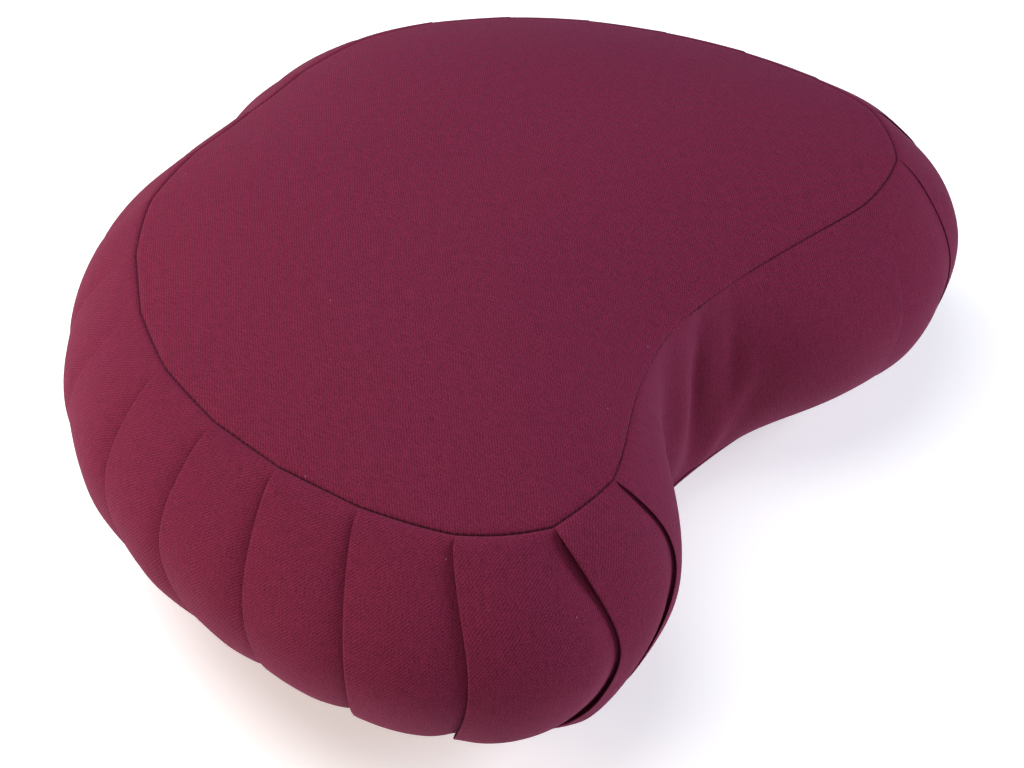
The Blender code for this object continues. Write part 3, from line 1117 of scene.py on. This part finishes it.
    def build(self) -> bpy.types.Material:
        """Make the material.

        Returns:
            The material, ready for a piece's slot.
        """
        material = bpy.data.materials.new(self.name)
        material.use_nodes = True
        tree = material.node_tree
        shader = tree.nodes["Principled BSDF"]
        flat = add_node(tree, "ShaderNodeUVMap", uv_map=self.cloth_uv)
        scaled = add_node(
            tree, "ShaderNodeMapping", {"Vector": flat.outputs[0], "Scale": (1 / MM, 1 / MM, 1 / MM)}
        )
        grain = scaled.outputs[0]
        waver = add_node(
            tree, "ShaderNodeTexNoise", {"Vector": grain, "Scale": 1 / self.waver_apart_mm, "Detail": 2.0}
        )
        bent = add_node(
            tree,
            "ShaderNodeVectorMath",
            {0: waver.outputs["Color"], 1: (self.waver_mm, self.waver_mm, 0)},
            operation="MULTIPLY",
        )
        cloth = add_node(tree, "ShaderNodeVectorMath", {0: grain, 1: bent.outputs[0]}, operation="ADD")
        height = self.yarns(tree, cloth.outputs[0])
        dark, bright = self.shaded_heights
        light = add_node(tree, "ShaderNodeMapRange", {"Value": height, "From Min": dark, "From Max": bright})
        patches = add_node(
            tree, "ShaderNodeTexNoise", {"Vector": grain, "Scale": self.patches_per_mm, "Detail": 3.0}
        )
        dye = add_node(
            tree,
            "ShaderNodeMix",
            {"Factor": patches.outputs["Fac"], "A": srgb(self.yarn), "B": srgb(self.warm)},
            data_type="RGBA",
        )
        colour = add_node(
            tree,
            "ShaderNodeMix",
            {"Factor": light.outputs[0], "A": srgb(self.between), "B": dye.outputs["Result"]},
            data_type="RGBA",
        )
        away = add_node(tree, "ShaderNodeAttribute", attribute_name="from_seam").outputs["Fac"]
        bead = self.stitches(tree)
        gathers = add_node(
            tree,
            "ShaderNodeBump",
            {"Height": self.puckers(tree, away, bead), "Distance": self.pucker_mm * MM, "Strength": 1.0},
        )
        relief = add_node(
            tree,
            "ShaderNodeBump",
            {
                "Height": height,
                "Distance": self.relief_mm * MM,
                "Strength": self.relief_strength,
                "Normal": gathers.outputs[0],
            },
        )
        # Painted shade mixed into the colour along every seam
        seam_shaded = self.painted_seam_shade(tree, away, bead, colour.outputs["Result"])
        tree.links.new(self.linted(tree, grain, seam_shaded), shader.inputs["Base Color"])
        tree.links.new(relief.outputs[0], shader.inputs["Normal"])
        shader.inputs["Roughness"].default_value = self.roughness
        shader.inputs["Specular IOR Level"].default_value = self.specular
        shader.inputs["Sheen Weight"].default_value = self.sheen
        shader.inputs["Sheen Roughness"].default_value = self.sheen_roughness
        shader.inputs["Sheen Tint"].default_value = srgb(self.fuzz)
        return material

    def dress(self, piece: bpy.types.Object) -> None:
        """Put the finish on a piece."""
        piece.data.materials.clear()
        piece.data.materials.append(self.build())


@dataclass
class Studio:
    """A white light table, soft light and the camera."""

    azimuth: float = -54.94
    elevation: float = 42.66
    distance: float = 0.9356
    lens_mm: float = 70.75
    target: tuple[float, float, float] = (-0.0232, -0.0333, 0.06)
    table_glow: float = 0.36

    def camera(self) -> None:
        """Set the camera at the viewing angle."""
        turn, lift = math.radians(self.azimuth), math.radians(self.elevation)
        back = (math.sin(turn) * math.cos(lift), -math.cos(turn) * math.cos(lift), math.sin(lift))
        place = [t + self.distance * b for t, b in zip(self.target, back)]
        bpy.ops.object.camera_add(location=place, rotation=(math.pi / 2 - lift, 0, turn))
        camera = bpy.context.active_object
        camera.data.lens = self.lens_mm
        camera.data.sensor_width = 36
        bpy.context.scene.camera = camera

    def floor(self) -> None:
        """Lay a matt white floor that is lit from below, so that shadows on it stay pale."""
        bpy.ops.mesh.primitive_plane_add(size=8)
        floor = bpy.context.active_object
        floor.name = "studio_floor"
        material = bpy.data.materials.new("opal_white_light_table")
        material.use_nodes = True
        shader = material.node_tree.nodes["Principled BSDF"]
        shader.inputs["Base Color"].default_value = srgb("#fafafa")
        shader.inputs["Roughness"].default_value = 0.95
        shader.inputs["Specular IOR Level"].default_value = 0.1
        shader.inputs["Emission Color"].default_value = srgb("#ffffff")
        shader.inputs["Emission Strength"].default_value = self.table_glow
        floor.data.materials.append(material)

    def softbox(
        self,
        name: str,
        azimuth: float,
        elevation: float,
        distance: float,
        size: float,
        watts: float,
        tint: str,
    ) -> None:
        """Hang one soft light that faces the cushion.

        Args:
            name: The light's name.
            azimuth: Where it hangs, as the camera's azimuth.
            elevation: Its angle above the floor.
            distance: How far off it hangs.
            size: Its width.
            watts: Its power.
            tint: Its colour.
        """
        turn, lift = math.radians(azimuth), math.radians(elevation)
        back = (math.sin(turn) * math.cos(lift), -math.cos(turn) * math.cos(lift), math.sin(lift))
        place = [distance * b for b in back]
        bpy.ops.object.light_add(type="AREA", location=place, rotation=(math.pi / 2 - lift, 0, turn))
        light = bpy.context.active_object
        light.name = name
        light.data.shape = "DISK"
        light.data.size = size
        light.data.energy = watts
        light.data.color = srgb(tint)[:3]

    def build(self) -> None:
        """Set up floor, light and camera."""
        self.floor()
        self.camera()
        self.softbox("left_softbox", -133, 17, 1.35, 0.6, 13.0, "#ffe9d2")
        self.softbox("right_softbox", 26, 28, 1.5, 0.9, 15.5, "#e6edff")
        self.softbox("back_softbox", -176, 46, 1.2, 0.7, 7.2, "#f0f4ff")
        self.softbox("overhead_softbox", -110, 76, 1.2, 0.9, 6.8, "#ffffff")
        self.softbox("camera_softbox", -30, 42, 1.8, 0.9, 3.0, "#ffffff")
        world = bpy.data.worlds.new("studio")
        world.use_nodes = True
        world.node_tree.nodes["Background"].inputs["Color"].default_value = srgb("#ffffff")
        world.node_tree.nodes["Background"].inputs["Strength"].default_value = 0.03
        scene = bpy.context.scene
        scene.world = world
        scene.view_settings.view_transform = "Standard"


def place_piece(piece: bpy.types.Object, node: str) -> None:
    """Make a piece ride on the body and stand for one node."""
    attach(piece, BODY)
    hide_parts(node)
    log.info("%s stands for %s: %d faces", piece.name, node, len(piece.data.polygons))


def main() -> None:
    """Build the cushion's pieces, dress them and set up the studio."""
    logging.basicConfig(level=logging.INFO, format="%(name)s: %(message)s")
    shape = Shape()
    body = SewnBody(shape).build()
    WovenCotton("burgundy_cotton_twill_band").dress(body)
    place_piece(body, "pleated_body")
    crown = CrownPanel(shape).build()
    WovenCotton("burgundy_cotton_twill_top").dress(crown)
    place_piece(crown, "top_panel")
    base = BasePanel(shape).build()
    WovenCotton("burgundy_cotton_twill_base").dress(base)
    place_piece(base, "bottom_panel")
    Studio().build()


if __name__ == "__main__":
    main()
